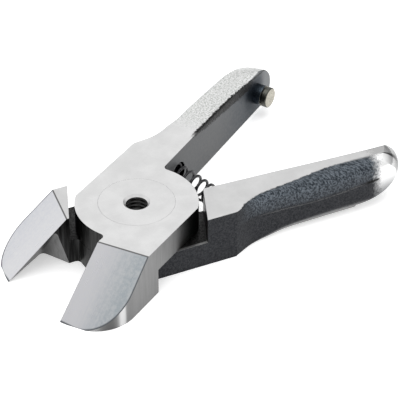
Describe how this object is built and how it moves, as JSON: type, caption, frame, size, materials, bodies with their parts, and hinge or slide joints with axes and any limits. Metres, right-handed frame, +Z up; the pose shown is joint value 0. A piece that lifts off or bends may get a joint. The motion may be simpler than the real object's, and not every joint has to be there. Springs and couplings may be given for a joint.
{
  "type": "nibbler tool",
  "caption": "Lap-jointed pair of nipper blades with slanted jaws, a flush threaded pivot bush, sprung forged arms and an arm pin, for a powered hand tool.",
  "frame": {"origin": "pivot axis at the flat underside", "axes": "+X towards the ends of the arms along the centre line, +Y towards the upper blade's arm, +Z up along the pivot axis"},
  "size_m": [0.0952, 0.0545, 0.0127],
  "materials": {
    "blade_steel": "ground faces, dark rough forged sides",
    "bush_steel": "ground",
    "pin_steel": "ground end",
    "spring_wire": "black"
  },
  "bodies": {
    "lower_blade": {"lower_blade": "blade_steel", "pivot_bush": "bush_steel", "return_spring": "spring_wire"},
    "upper_blade": {"upper_blade": "blade_steel", "arm_pin": "pin_steel"}
  },
  "joints": [
    {"name": "blade_pivot", "type": "hinge", "parent": "lower_blade", "child": "upper_blade", "pos_m": [0, 0, 0.00635], "axis": [0, 0, 1], "range_deg": [-33.4, 0], "stiffness_Nm_per_rad": 0.5, "springref_deg": 2.86, "deforming": ["return_spring"]}
  ]
}
